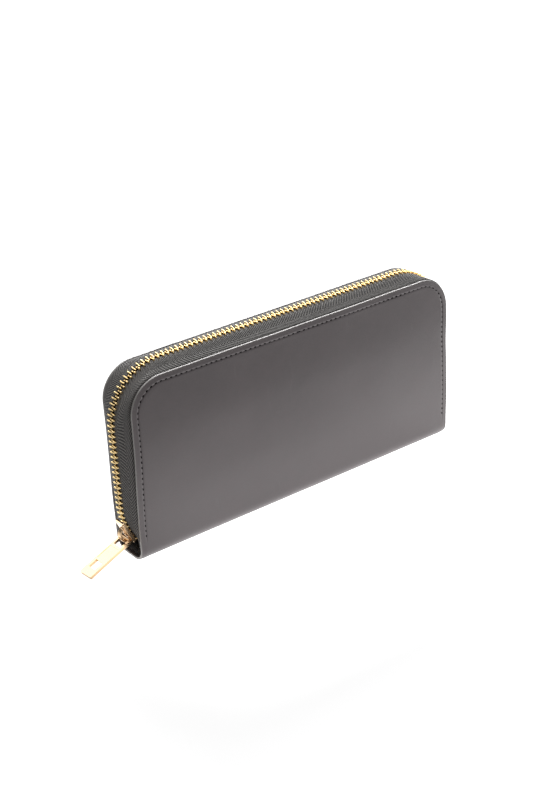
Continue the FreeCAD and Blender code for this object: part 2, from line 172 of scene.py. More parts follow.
# ---- Shader helpers ----
class Shader:
    """A new material whose nodes are made and joined by name."""

    def __init__(self, name):
        self.material = bpy.data.materials.new(name)
        self.material.use_nodes = True
        self.tree = self.material.node_tree
        self.bsdf = self.tree.nodes["Principled BSDF"]

    def node(self, kind, inputs=(), **settings):
        made = self.tree.nodes.new("ShaderNode" + kind)
        for key, value in settings.items():
            setattr(made, key, value)
        for key, value in dict(inputs).items():
            if isinstance(value, bpy.types.NodeSocket):
                self.tree.links.new(value, made.inputs[key])
            else:
                made.inputs[key].default_value = value
        return made

    def math(self, operation, a, b=0.0):
        return self.node("Math", {0: a, 1: b}, operation=operation).outputs[0]

    def set(self, **values):
        for key, value in values.items():
            socket = self.bsdf.inputs[key.replace("_", " ")]
            if isinstance(value, bpy.types.NodeSocket):
                self.tree.links.new(value, socket)
            else:
                socket.default_value = value

    def place(self, scale=(1.0, 1.0, 1.0), turn=(0.0, 0.0, 0.0)):
        source = self.node("TexCoord").outputs["Object"]
        return self.node(
            "Mapping", {"Vector": source, "Scale": scale, "Rotation": turn}
        ).outputs[0]

    def fade(self, value, start, end, low=0.0, high=1.0):
        """Goes softly from low to high between two values."""
        inputs = {"Value": value, "From Min": start, "From Max": end, "To Min": low, "To Max": high}
        return self.node("MapRange", inputs, interpolation_type="SMOOTHSTEP").outputs[0]

    def noise(self, vector, scale, detail=3.0, rough=0.5):
        inputs = {"Vector": vector, "Scale": scale, "Detail": detail, "Roughness": rough}
        return self.node("TexNoise", inputs).outputs["Fac"]

    def ramp(self, factor, *stops):
        """stops are (position, grey or colour)."""
        made = self.node("ValToRGB", {"Fac": factor})
        points = made.color_ramp.elements
        while len(points) < len(stops):
            points.new(0.5)
        for point, (position, value) in zip(points, stops):
            point.position = position
            rgb = (value,) * 3 if isinstance(value, float) else value
            point.color = (*rgb, 1.0)
        return made.outputs["Color"]

    def mix(self, factor, a, b, blend="MIX"):
        made = self.node("Mix", data_type="RGBA", blend_type=blend)
        for index, value in ((0, factor), (6, a), (7, b)):
            if isinstance(value, bpy.types.NodeSocket):
                self.tree.links.new(value, made.inputs[index])
            else:
                is_colour = isinstance(value, tuple)
                made.inputs[index].default_value = (*value, 1.0) if is_colour else value
        return made.outputs[2]

    def bump(self, height, distance, strength=1.0, under=None):
        inputs = {"Height": height, "Distance": distance, "Strength": strength}
        if under is not None:
            inputs["Normal"] = under
        return self.node("Bump", inputs).outputs[0]


def leather_material(name, dark, light, rough, grain_depth=0.05, edge=(0.17, 0.162, 0.155)):
    """Smooth waxed leather: cloudy dye, fine pores and creases, a few long scuffs, and a lighter cut edge that is
    partly wear and partly a painted highlight.
    """
    s = Shader(name)
    at = s.place()
    clouds = s.noise(at, 22.0, 4.0, 0.55)
    mottle = s.noise(at, 160.0, 5.0, 0.6)
    colour = s.ramp(clouds, (0.3, dark), (0.72, light))
    colour = s.mix(s.ramp(mottle, (0.35, 0.0), (0.7, 0.35)), colour, tuple(1.5 * v for v in light))
    scuff_at = s.place((14.0, 14.0, 2.2), (0.0, math.radians(38), 0.0))
    scuffs = s.ramp(s.noise(scuff_at, 9.0, 6.0, 0.7), (0.62, 0.0), (0.72, 1.0))
    colour = s.mix(s.math("MULTIPLY", scuffs, 0.06), colour, (0.16, 0.155, 0.155))
    # The cut edge is lighter: partly edge wear, partly a painted highlight where light catches it.
    edge_wear_and_highlight = s.node("Attribute", attribute_name="edge_wear_and_highlight").outputs["Fac"]
    colour = s.mix(edge_wear_and_highlight, colour, edge)
    pores = s.node("TexVoronoi", {"Vector": at, "Scale": 2300.0}, feature="DISTANCE_TO_EDGE")
    creases = s.noise(at, 900.0, 4.0, 0.6)
    grain = s.bump(s.ramp(pores.outputs["Distance"], (0.0, 0.0), (0.25, 1.0)), 0.03 * MM, 0.35)
    fine = s.bump(creases, grain_depth * MM, 0.5, grain)
    waves = s.bump(s.noise(at, 38.0, 2.0), 0.5 * MM, 0.35, fine)
    roughness = s.node(
        "MapRange", {"Value": mottle, "To Min": rough - 0.07, "To Max": rough + 0.08}
    ).outputs[0]
    s.set(Base_Color=colour, Roughness=roughness, Normal=waves)
    s.bsdf.inputs["Specular Tint"].default_value = (1.0, 0.95, 0.96, 1.0)
    s.bsdf.inputs["IOR"].default_value = 1.6
    s.bsdf.inputs["Coat Weight"].default_value = 0.08
    s.bsdf.inputs["Coat Roughness"].default_value = 0.32
    return s.material


def tape_material():
    """Herringbone tape. The map runs along the tape in x and across it in y, in metres."""
    s = Shader("zip_tape_weave")
    split = s.node("SeparateXYZ", {0: s.node("UVMap").outputs["UV"]})
    along, across = split.outputs[0], split.outputs[1]
    band = s.math("PINGPONG", across, 7.0 * MM)
    slanted = s.math("ADD", along, s.math("MULTIPLY", band, 1.25))
    ribs = s.math("SINE", s.math("MULTIPLY", slanted, 2 * math.pi / (1.6 * MM)))
    ribs = s.math("MULTIPLY_ADD", ribs, 0.5)
    ribs.node.inputs[2].default_value = 0.5
    cross = s.math("SINE", s.math("MULTIPLY", across, 2 * math.pi / (0.5 * MM)))
    lumps = s.math("MULTIPLY_ADD", cross, 0.12)
    s.tree.links.new(ribs, lumps.node.inputs[2])
    fuzz = s.noise(s.place(), 1500.0, 3.0, 0.6)
    raised = s.ramp(ribs, (0.15, 0.0), (0.85, 1.0))
    colour = s.mix(raised, (0.003, 0.0027, 0.0027), (0.125, 0.115, 0.107))
    colour = s.mix(s.math("MULTIPLY", fuzz, 0.3), colour, (0.022, 0.021, 0.022))
    weave = s.bump(lumps, 0.25 * MM, 1.0)
    s.set(Base_Color=colour, Roughness=0.72, Normal=s.bump(fuzz, 0.04 * MM, 0.4, weave))
    s.bsdf.inputs["Sheen Weight"].default_value = 0.06
    s.bsdf.inputs["Sheen Roughness"].default_value = 0.5
    return s.material


def cloth_material(name, dark, light, pitch=0.8 * MM):
    """Fine twill lining, with diagonal ribs."""
    s = Shader(name)
    at = s.place()
    wave = s.node(
        "TexWave",
        {"Vector": at, "Scale": 2 * math.pi / (10 * pitch), "Distortion": 0.6, "Detail": 1.0},
        bands_direction="DIAGONAL",
    ).outputs["Fac"]
    blotch = s.noise(at, 60.0, 3.0)
    colour = s.mix(wave, dark, light)
    colour = s.mix(s.math("MULTIPLY", blotch, 0.3), colour, dark)
    s.set(Base_Color=colour, Roughness=0.8, Normal=s.bump(wave, 0.06 * MM, 0.7))
    s.bsdf.inputs["Sheen Weight"].default_value = 0.08
    return s.material


def thread_material():
    s = Shader("black_thread")
    twist = s.node("TexWave", {"Vector": s.place(), "Scale": 900.0, "Distortion": 1.5}).outputs["Fac"]
    colour = s.mix(twist, (0.003, 0.003, 0.003), (0.012, 0.012, 0.012))
    s.set(Base_Color=colour, Roughness=0.9, Normal=s.bump(twist, 0.05 * MM, 0.6))
    s.bsdf.inputs["Specular IOR Level"].default_value = 0.15
    return s.material


def metal_material(name, colour, rough, grain=0.35):
    """Plated metal, with fine polishing marks and slightly uneven colour."""
    s = Shader(name)
    at = s.place()
    marks = s.noise(s.place((1.0, 1.0, 6.0)), 900.0, 4.0, 0.65)
    stain = s.noise(at, 120.0, 3.0)
    deep = tuple(0.82 * v for v in colour)
    polish = {"Value": marks, "To Min": rough - 0.06, "To Max": rough + 0.1}
    s.set(
        Base_Color=s.mix(stain, colour, deep),
        Metallic=1.0,
        Roughness=s.node("MapRange", polish).outputs[0],
        Normal=s.bump(marks, 0.02 * MM, grain),
    )
    return s.material


def board_material():
    s = Shader("grey_board")
    fibres = s.noise(s.place((1.0, 1.0, 4.0)), 700.0, 5.0, 0.7)
    s.set(
        Base_Color=s.mix(fibres, (0.30, 0.25, 0.18), (0.46, 0.40, 0.31)),
        Roughness=0.9,
        Normal=s.bump(fibres, 0.05 * MM, 0.5),
    )
    return s.material


# Each leather's edge colour lightens its cut edges: partly wear, partly a painted highlight.
cover_material = leather_material("cover_leather", (0.015, 0.0085, 0.0098), (0.024, 0.015, 0.0165), 0.4)
inner_material = leather_material(
    "inner_leather", (0.026, 0.0252, 0.0255), (0.044, 0.0428, 0.0432), 0.5, 0.08,
    edge=(0.075, 0.073, 0.072),
)
lining_material = cloth_material("lining_cloth", (0.012, 0.012, 0.013), (0.045, 0.044, 0.046))
weave_material = tape_material()
stitch_material = thread_material()
brass_material = metal_material("zip_brass", (0.80, 0.60, 0.29), 0.24)
gold_material = metal_material("slider_gold", (0.72, 0.51, 0.31), 0.24)
card_material = board_material()


# ---- Cover leather ----
arc_end = math.pi / 2 - lean
straight_from = fold_y + spine_radius * arc_end
outward = Vector((0, -math.cos(lean), -math.sin(lean)))
upward = Vector((0, -math.sin(lean), math.cos(lean)))
sheet_top = straight_from + (panel_top - (fold + outward * spine_radius).z) / math.cos(lean)


def front_section(s, depth):
    """The point at s along the front cover's outer face from the middle of the base, depth into it."""
    if s < fold_y:
        return Vector((0, -s, depth))
    if s < straight_from:
        a = (s - fold_y) / spine_radius
        r = spine_radius - depth
        return Vector((0, -fold_y - r * math.sin(a), spine_radius - r * math.cos(a)))
    return fold + outward * (spine_radius - depth) + upward * (s - straight_from)


def height_to_sheet(z):
    """The distance along the sheet at which the straight part of a cover is at height z."""
    return straight_from + (z - (fold + outward * spine_radius).z) / math.cos(lean)


def narrowing(s):
    """How far each end of a cover draws in, where the zip pulls it towards its top."""
    return side_pull * smoothstep(30 * MM, 72 * MM, s)


def cover_swell(x, s, seed):
    """How far the soft leather stands out from its flat shape."""
    up = smoothstep(straight_from - 3 * MM, straight_from + 30 * MM, s)
    up *= 1 - smoothstep(sheet_top - 34 * MM, sheet_top, s)
    along = 1 - abs(x / half_length) ** 5
    puff = swell * up * along
    slow = noise.noise(Vector((x * 13, s * 15, seed))) * 0.45 * MM
    quick = noise.noise(Vector((x * 45, s * 45, seed + 7))) * 0.1 * MM
    return puff + (slow + quick) * smoothstep(fold_y, straight_from, s)


def rim_profile():
    """(distance in from the edge, depth, share of the groove), from the outer face to the inner."""
    triples = []
    for d in (6.0, 5.2, 4.5, 4.0, 3.7, 3.45, 3.2, 2.95, 2.7, 2.4, 2.0, 1.4, 0.8, 0.5):
        dip = math.exp(-(((d - stitch_inset / MM) / 0.42) ** 2))
        skive = 0.15 * MM * (1 - smoothstep(0.3, 3.0, d))
        triples.append((d * MM, skive, dip))
    for angle in (0, 30, 60):
        t = math.radians(angle)
        triples.append(((0.3 - 0.3 * math.sin(t)) * MM, (0.15 + 0.3 - 0.3 * math.cos(t)) * MM, 0.0))
    flat = [(0.0, 0.45), (0.0, 0.8), (0.0, 1.15), (0.06, 1.32), (0.25, leather / MM)]
    flat += [(2.0, leather / MM), (6.0, leather / MM)]
    return triples + [(d * MM, depth * MM, 0.0) for d, depth in flat]


def outline_rows():
    """(height along the sheet, corner angle or None) for each row from the base to the top edge."""
    low = np.linspace(0, straight_from, 12)
    high = np.linspace(straight_from, sheet_top - panel_corner, 44)[1:]
    rows = [(s, None) for s in (*low, *high)]
    return rows + [(0.0, a) for a in np.linspace(0, math.pi / 2, CORNER_STEPS)[1:]]


def row_point(row, d):
    """Half width and height of a row's end, d in from the sheet's edge."""
    s, angle = row
    if angle is None:
        return half_length - narrowing(s) - d, s
    r = panel_corner - d
    height = sheet_top - panel_corner + r * math.sin(angle)
    return half_length - narrowing(height) - panel_corner + r * math.cos(angle), height


def make_cover(side, seed):
    """One cover and its half of the spine, as a single thick sheet of leather."""
    rows = outline_rows()
    columns = np.sin(np.linspace(-math.pi / 2, math.pi / 2, 121) * 0.97) / math.sin(0.97 * math.pi / 2)
    rim = rim_profile()
    inset = rim[0][0]
    verts, faces, edge_wear_and_highlight_amounts = [], [], []
    sign = -1 if side == "front" else 1

    def add(x, s, depth, edge, dip=0.0):
        stand = cover_swell(x, s, seed)
        # Lighter colour along the cut edge: partly edge wear, partly a painted highlight.
        edge_wear_and_highlight_amounts.append(1 - smoothstep(0.05 * MM, 0.34 * MM, edge))
        groove_end = height_to_sheet(stitch_low)
        depth += groove_depth * dip * smoothstep(groove_end - 2 * MM, groove_end, s)
        ripple = 0.35 * MM * noise.noise(Vector((x * 60 + s * 60, seed * 3.1, 0.5)))
        pinch = ripple * (1 - smoothstep(0, 8 * MM, edge)) * smoothstep(fold_y, straight_from, s)
        p = front_section(s, depth - stand - pinch)
        verts.append((x, -sign * p.y, p.z))
        return len(verts) - 1

    def sheet(depth):
        grid = []
        for row in rows:
            w, s = row_point(row, inset)
            grid.append([add(w * u, s, depth, inset) for u in columns])
        for a, b in zip(grid, grid[1:]):
            for i in range(len(columns) - 1):
                faces.append((a[i], a[i + 1], b[i + 1], b[i]))
        return grid

    def border(grid):
        left = [line[0] for line in grid]
        right = [line[-1] for line in grid]
        return left + grid[-1][1:-1] + right[::-1]

    def loop(d, depth, dip):
        ends = [row_point(row, d) for row in rows]
        left = [add(-w, s, depth, d, dip) for w, s in ends]
        top = half_length - narrowing(sheet_top) - panel_corner
        middle = [add(top * u, sheet_top - d, depth, d, dip) for u in columns[1:-1]]
        right = [add(w, s, depth, d, dip) for w, s in ends]
        return left + middle + right[::-1]

    outer, inner = sheet(0.0), sheet(leather)
    loops = [border(outer)]
    loops += [loop(*entry) for entry in rim[1:-1]]
    loops.append(border(inner))
    for a, b in zip(loops, loops[1:]):
        for i in range(len(a) - 1):
            faces.append((a[i], a[i + 1], b[i + 1], b[i]))
    obj = add_object("leather_" + side, verts, faces)
    edge_wear_and_highlight = obj.data.attributes.new("edge_wear_and_highlight", "FLOAT", "POINT")
    edge_wear_and_highlight.data.foreach_set("value", edge_wear_and_highlight_amounts)
    bm = bmesh.new()
    bm.from_mesh(obj.data)
    bmesh.ops.holes_fill(bm, edges=[e for e in bm.edges if e.is_boundary])
    bmesh.ops.recalc_face_normals(bm, faces=bm.faces)
    bm.to_mesh(obj.data)
    bm.free()
    finish_piece(obj, cover_material, "cover_leather", None, "cover_" + side)
    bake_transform(obj)
    return obj


# ---- Stitches ----
def outline_walk(inset):
    """Points and tangents one stitch apart, on a line inset from the cover's edge."""
    half = half_length - inset
    radius = panel_corner - inset
    top = sheet_top - inset
    low = height_to_sheet(stitch_low)
    side = top - radius - low
    turn = math.pi / 2 * radius
    flat = 2 * (half - radius)
    total = 2 * side + 2 * turn + flat
    count = int(total / stitch_pitch)
    for i in range(count):
        t = (i + 0.5) * total / count
        if t > total / 2:
            t, mirror = total - t, -1
        else:
            mirror = 1
        if t < side:
            x, s, a = -half, low + t, math.pi / 2
        elif t < side + turn:
            b = (t - side) / radius
            x, s = -half + radius - radius * math.cos(b), top - radius + radius * math.sin(b)
            a = math.pi / 2 - b
        else:
            x, s, a = -half + radius + (t - side - turn), top, 0.0
        x += narrowing(s)
        yield mirror * x, s, (a if mirror > 0 else math.pi - a)


def capsule(length, radius, sides=8):
    """Vertices and faces of a thread's short length along x, thinner where it dives at its ends."""
    # (share of the length, share of the radius)
    stations = [(-0.5, 0.25), (-0.46, 0.7), (-0.36, 1.0), (0.0, 1.12)]
    stations += [(-along, size) for along, size in stations[2::-1]]
    verts, faces = [], []
    for along, size in stations:
        dive = -radius * 1.6 * abs(2 * along) ** 4
        for k in range(sides):
            a = 2 * math.pi * k / sides
            y = math.cos(a) * radius * size
            z = math.sin(a) * radius * size + dive
            verts.append((along * length, y, z))
    for j in range(len(stations) - 1):
        for k in range(sides):
            n = (k + 1) % sides
            a, b = j * sides, (j + 1) * sides
            faces.append((a + k, a + n, b + n, b + k))
    faces.append(tuple(range(sides))[::-1])
    faces.append(tuple((len(stations) - 1) * sides + k for k in range(sides)))
    return np.array(verts), faces


def make_stitches(side, seed):
    shape, shape_faces = capsule(*cover_thread)
    sign = -1 if side == "front" else 1
    verts, faces = [], []
    slant = math.radians(5)
    for x, s, angle in outline_walk(stitch_inset):
        out = cover_swell(x, s, seed) - 0.14 * MM
        c, d = math.cos(angle + slant), math.sin(angle + slant)
        base = len(verts)
        for px, py, pz in shape:
            xx, ss = x + px * c - py * d, s + px * d + py * c
            p = front_section(ss, -(pz + out))
            verts.append((xx, -sign * p.y, p.z))
        faces += [tuple(base + i for i in f) for f in shape_faces]
    obj = face_outwards(add_object("thread_" + side, verts, faces))
    return finish_piece(obj, stitch_material, "thread", side + "_half", "cover_stitches_" + side)


# ---- The main zip ----
def zip_stations(step):
    """(chain point, edge point, outward normal, distance) along the zip, from the slider's end.

    The chain point is on the chain's centre line and the edge point on the covers' edge beside it."""
    half_path = []
    tuck_steps = int(tuck_radius * tuck_end / step)
    for i in range(tuck_steps + 1):
        a = tuck_end * (1 - i / tuck_steps)
        n = Vector((-math.cos(a), 0, -math.sin(a)))
        chain = tuck_centre + n * tuck_radius
        half_path.append((chain, Vector((-half_length, 0, chain.z)), n))
    side_top = chain_top - zip_corner
    steps = int((side_top - tuck_centre.z) / step)
    for i in range(1, steps + 1):
        z = tuck_centre.z + (side_top - tuck_centre.z) * i / steps
        n = Vector((-1, 0, 0))
        edge_z = min(z * (panel_top - panel_corner) / side_top, panel_top - panel_corner)
        blend = smoothstep(tuck_centre.z, side_top, z)
        edge = Vector((-half_length, 0, z + (edge_z - z) * blend))
        half_path.append((Vector((-chain_half, 0, z)), edge, n))
    corner_steps = int(zip_corner * math.pi / 2 / step * 1.2)
    for i in range(1, corner_steps + 1):
        a = math.pi / 2 * i / corner_steps
        n = Vector((-math.cos(a), 0, math.sin(a)))
        chain = Vector((-chain_half + zip_corner, 0, side_top)) + n * zip_corner
        edge = Vector((-half_length + panel_corner, 0, panel_top - panel_corner)) + n * panel_corner
        half_path.append((chain, edge, n))
    chain_x, edge_x = half_path[-1][0].x, half_path[-1][1].x
    steps = int(-chain_x / step)
    for i in range(1, steps + 1):
        k = 1 - i / steps
        chain = Vector((chain_x * k, 0, chain_top))
        edge = Vector((edge_x * k, 0, panel_top))
        half_path.append((chain, edge, Vector((0, 0, 1))))
    flip = Matrix.Diagonal((-1, 1, 1))
    path = half_path + [(flip @ c, flip @ e, flip @ n) for c, e, n in half_path[-2::-1]]
    distance, out = 0.0, []
    for i, (c, e, n) in enumerate(path):
        if i:
            distance += (c - path[i - 1][0]).length
        out.append((c, e, n, distance))
    return out


def cover_inner_y(z):
    """How far the inner face of a cover is from the middle, at a height."""
    if z < spine_radius:
        r = spine_radius - leather
        return fold_y + math.sqrt(max(r * r - (spine_radius - z) ** 2, 0.0))
    return fold_y + (spine_radius - leather) / math.cos(lean) + (z - spine_radius) * math.tan(lean)


def make_tape(side):
    """A tape: flat beside the teeth, rounding down to where it goes in under the cover's edge."""
    bulge = chain_half - half_length
    # (share of the way from the teeth to the cover's inner face, height over the cover's edge)
    profile = [
        (0.0, bulge),
        (0.2, bulge),
        (0.33, bulge - 0.05 * MM),
        (0.45, bulge - 0.6 * MM),
        (0.57, bulge - 1.15 * MM),
        (0.7, bulge - 1.7 * MM),
        (0.82, bulge - 2.15 * MM),
        (0.92, 0.1 * MM),
        (0.97, -0.3 * MM),
        (0.985, -1.0 * MM),
        (0.993, -2.4 * MM),
        (0.996, -5.0 * MM),
    ]
    stations = zip_stations(1.3 * MM)
    total = stations[-1][3]
    sign = -1 if side == "front" else 1
    first_y = 1.0 * MM
    verts, faces, maps = [], [], []
    width = len(profile)
    for face in (0, 1):
        for chain, edge, n, distance in stations:
            across, last = 0.0, None
            tail = smoothstep(0, 30 * MM, min(distance, total - distance))
            for share, height in profile:
                reach = cover_inner_y(max(edge.z, 1.5 * leather)) - 0.1 * MM
                y = first_y + (reach - first_y) * share
                if height > 0:
                    k = height / bulge
                    p = edge.lerp(chain, k)
                else:
                    drop = height * (0.35 + 0.65 * tail)
                    p = edge + n * drop
                ripple = 0.18 * MM * noise.noise(Vector((distance * 70, share * 3, sign * 5.0)))
                p = p + n * (ripple * math.sin(math.pi * share) - face * tape_thick)
                q = Vector((p.x, sign * y, p.z))
                if last is not None:
                    across += (Vector((0, y, height)) - last).length
                last = Vector((0, y, height))
                verts.append(q)
                maps.append((distance, across))
    count = len(stations)

    def at(face, i, j):
        return (face * count + i) * width + j

    for face in (0, 1):
        for i in range(count - 1):
            for j in range(width - 1):
                a, b = at(face, i, j), at(face, i + 1, j)
                faces.append((a, a + 1, b + 1, b))
    for i in range(count - 1):
        for j in (0, width - 1):
            faces.append((at(0, i, j), at(0, i + 1, j), at(1, i + 1, j), at(1, i, j)))
    for j in range(width - 1):
        for i in (0, count - 1):
            faces.append((at(0, i, j), at(0, i, j + 1), at(1, i, j + 1), at(1, i, j)))
    obj = face_outwards(add_object("tape_" + side, verts, faces))
    set_map(obj, maps)
    nodes = ["zip_tape_%s%s" % (side, end) for end in ("", "_slider_end", "_stop_end")]
    return finish_piece(obj, weave_material, "zip_tape", side + "_half", *nodes)


def tooth_shape(scale=1.0):
    """One tooth of the front row: legs clamped on the tape at -y, its head past the middle at +y."""
    # (y, half width along the zip, half height)
    stations = [
        (-2.66, 0.28, 0.98),
        (-2.58, 0.35, 1.12),
        (-2.4, 0.38, 1.18),
        (-1.2, 0.35, 1.1),
        (-0.6, 0.3, 0.85),
        (0.0, 0.29, 0.75),
        (0.5, 0.31, 0.8),
        (0.74, 0.28, 0.75),
        (0.86, 0.18, 0.55),
    ]
    sides = 12
    verts, faces = [], []
    for y, half_x, half_z in stations:
        for k in range(sides):
            a = 2 * math.pi * (k + 0.5) / sides
            c, d = math.cos(a), math.sin(a)
            px = math.copysign(abs(c) ** 0.42, c) * half_x
            pz = math.copysign(abs(d) ** 0.42, d) * half_z
            verts.append((px * MM * scale, y * MM * scale, pz * MM * scale))
    for j in range(len(stations) - 1):
        for k in range(sides):
            n = (k + 1) % sides
            faces.append((j * sides + k, (j + 1) * sides + k, (j + 1) * sides + n, j * sides + n))
    faces.append(tuple(range(sides)))
    faces.append(tuple((len(stations) - 1) * sides + k for k in reversed(range(sides))))
    return np.array(verts), faces


def chain_places(side):
    """Point and outward normal of each tooth, in steps of the pitch from the slider."""
    pieces = zip_stations(0.5 * MM)
    skip = tuck_radius * (tuck_end - slider_angle - math.radians(0.4))
    stop = pieces[-1][3] - tuck_radius * (tuck_end - slider_angle + math.radians(3))
    along = skip + (0.5 * tooth_pitch if side == "back" else 0.0)
    i = 0
    while along <= stop:
        while pieces[i + 1][3] < along:
            i += 1
        a, b = pieces[i], pieces[i + 1]
        t = (along - a[3]) / (b[3] - a[3])
        yield a[0].lerp(b[0], t), a[2].lerp(b[2], t).normalized()
        along += tooth_pitch


def teeth_object(name, places, side, scale=1.0):
    shape, shape_faces = tooth_shape(scale)
    if side == "back":
        shape = shape * np.array([1, -1, 1])
    verts, faces = [], []
    for index, (point, n) in enumerate(places):
        tangent = Vector((n.z, 0, -n.x))
        wobble = 1 + 0.02 * noise.noise(Vector((index * 0.7, scale, 1.5)))
        turn = np.array([list(tangent), [0, 1, 0], list(n)])
        base = len(verts)
        verts.extend((shape * wobble) @ turn + np.array(point))
        faces += [tuple(base + i for i in f) for f in shape_faces]
    return face_outwards(add_object(name, verts, faces))


def make_main_teeth(side):
    obj = teeth_object("teeth_" + side, chain_places(side), side)
    nodes = ["zip_teeth_%s%s" % (side, end) for end in ("", "_slider_end", "_stop_end")]
    return finish_piece(obj, brass_material, "zip_brass", side + "_half", *nodes)


# ---- Cast metal pieces, with the CAD shape and rounded edges ----
def node_copy(name, node):
    """A new object with a CAD piece's shape, and its mesh open for editing, each flat face whole."""
    mesh = frame["nodes"][node].data.copy()
    mesh.materials.clear()
    obj = bpy.data.objects.new(name, mesh)
    bpy.context.scene.collection.objects.link(obj)
    bm = bmesh.new()
    bm.from_mesh(mesh)
    bmesh.ops.remove_doubles(bm, verts=bm.verts, dist=1e-6)
    bmesh.ops.dissolve_limit(bm, angle_limit=math.radians(1.0), verts=bm.verts, edges=bm.edges)
    return obj, bm


def close_smooth(obj, bm):
    """Writes an edited mesh back, shaded smooth."""
    bm.to_mesh(obj.data)
    bm.free()
    obj.data.polygons.foreach_set("use_smooth", [True] * len(obj.data.polygons))


def rounded_copy(name, node, width, material, slot, body):
    """A piece of the node's own shape whose sharp edges are rounded."""
    obj, bm = node_copy(name, node)
    close_smooth(obj, bm)
    bevel = obj.modifiers.new("round", "BEVEL")
    bevel.width = width
    bevel.segments = 3
    bevel.limit_method = "ANGLE"
    bevel.angle_limit = math.radians(40)
    bevel.use_clamp_overlap = True
    flat = obj.modifiers.new("flat_faces", "WEIGHTED_NORMAL")
    flat.keep_sharp = True
    flat.weight = 100
    bpy.context.view_layer.update()
    final = bpy.data.meshes.new_from_object(obj.evaluated_get(bpy.context.evaluated_depsgraph_get()))
    obj.modifiers.clear()
    obj.data = final
    return finish_piece(obj, material, slot, body, node)


# ---- Soft pieces inside ----
def inner_wave(x, z):
    """How far the layers inside a cover stand off their flat places, all by the same amount."""
    return inner_ripple * noise.noise(Vector((x * 35, z * 35, 2.0)))


def soft_copy(name, node, width, body, grid=6 * MM):
    """A leather layer of the node's shape: edges rounded, cut into a grid and made gently wavy."""
    low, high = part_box(node)
    obj, bm = node_copy(name, node)
    sharp = [e for e in bm.edges if e.is_manifold and e.calc_face_angle(0) > math.radians(40)]
    edge_wear_and_highlight = bm.verts.layers.float.new("edge_wear_and_highlight")
    rounded = bmesh.ops.bevel(
        bm, geom=sharp, offset=width, segments=2, profile=0.5, affect="EDGES", clamp_overlap=True
    )
    # The rounded edges get a lighter colour: partly edge wear, partly a painted highlight.
    for v in rounded["verts"]:
        v[edge_wear_and_highlight] = 0.7
    for axis in (0, 2):
        count = int((high[axis] - low[axis]) / grid)
        for i in range(1, count):
            at = Vector((0, 0, 0))
            at[axis] = low[axis] + (high[axis] - low[axis]) * i / count
            normal = Vector((0, 0, 0))
            normal[axis] = 1
            parts = list(bm.verts) + list(bm.edges) + list(bm.faces)
            bmesh.ops.bisect_plane(bm, geom=parts, dist=1e-7, plane_co=at, plane_no=normal)
    for v in bm.verts:
        v.co.y += inner_wave(v.co.x, v.co.z)
    close_smooth(obj, bm)
    obj.data.set_sharp_from_angle(angle=math.radians(60))
    return finish_piece(obj, inner_material, "inner_leather", body, node)


def make_lining(side):
    """Lining cloth of one half: from the middle of the base, round the fold and up inside the board."""
    top = sheet_top - lining_inset
    radius = panel_corner - lining_inset
    half = half_length - lining_inset
    rows = [(s, 0.0) for s in np.linspace(0.1 * MM, top - radius, 40)]
    rows += [(top - radius, a) for a in np.linspace(0, math.pi / 2, 10)[1:-1]]
    board_from = height_to_sheet(13 * MM)
    steps = 60
    sign = -1 if side == "front" else 1
    verts = []
    for s, corner in rows:
        height = s + radius * math.sin(corner)
        width = half - radius + radius * math.cos(corner)
        for face in (0, 1):
            depth = leather + inner_gap + board * smoothstep(straight_from, board_from, height)
            for i in range(steps + 1):
                x = width * (2 * i / steps - 1)
                p = front_section(height, depth + face * cloth_thick)
                wave = inner_wave(x, p.z) * smoothstep(straight_from, board_from, height)
                verts.append((x, -sign * p.y + wave, p.z))
    faces = shell_faces(len(rows), steps + 1)
    obj = face_outwards(add_object("cloth_" + side, verts, faces))
    nodes = ["lining_" + side] + (["spine_lining"] if side == "front" else [])
    finish_piece(obj, lining_material, "lining_cloth", None, *nodes)
    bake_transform(obj)
    return obj


def seam_row(name, points, material, body):
    """Short stitches, one for each (point, direction of the thread, outward normal)."""
    shape, shape_faces = capsule(*slot_thread)
    verts, faces = [], []
    for point, along, out in points:
        across = out.cross(along)
        turn = np.array([list(along), list(across), list(out)])
        base = len(verts)
        verts.extend(shape @ turn + np.array(point))
        faces += [tuple(base + i for i in f) for f in shape_faces]
    obj = face_outwards(add_object(name, verts, faces))
    return finish_piece(obj, material, "thread", body)


def slot_stitches(side):
    """Stitches down both ends of each card slot."""
    sign = -1 if side == "front" else 1
    points = []
    for tier in range(1, 5):
        low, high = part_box("card_slot_%d_%s" % (tier, side))
        reach = high.z - slot_seam_drop
        count = int(slot_seam_length / stitch_pitch)
        face_y = high.y if sign < 0 else low.y
        for x in (low.x + slot_seam_inset, high.x - slot_seam_inset):
            for i in range(count):
                z = reach + (i + 0.7) * stitch_pitch
                y = face_y + sign * (z - low.z) * math.tan(lean) + inner_wave(x, z)
                point = Vector((x, y - sign * 0.05 * MM, z))
                points.append((point, Vector((0, 0, 1)), Vector((0, -sign, 0))))
    return seam_row("slot_thread_" + side, points, stitch_material, side + "_half")


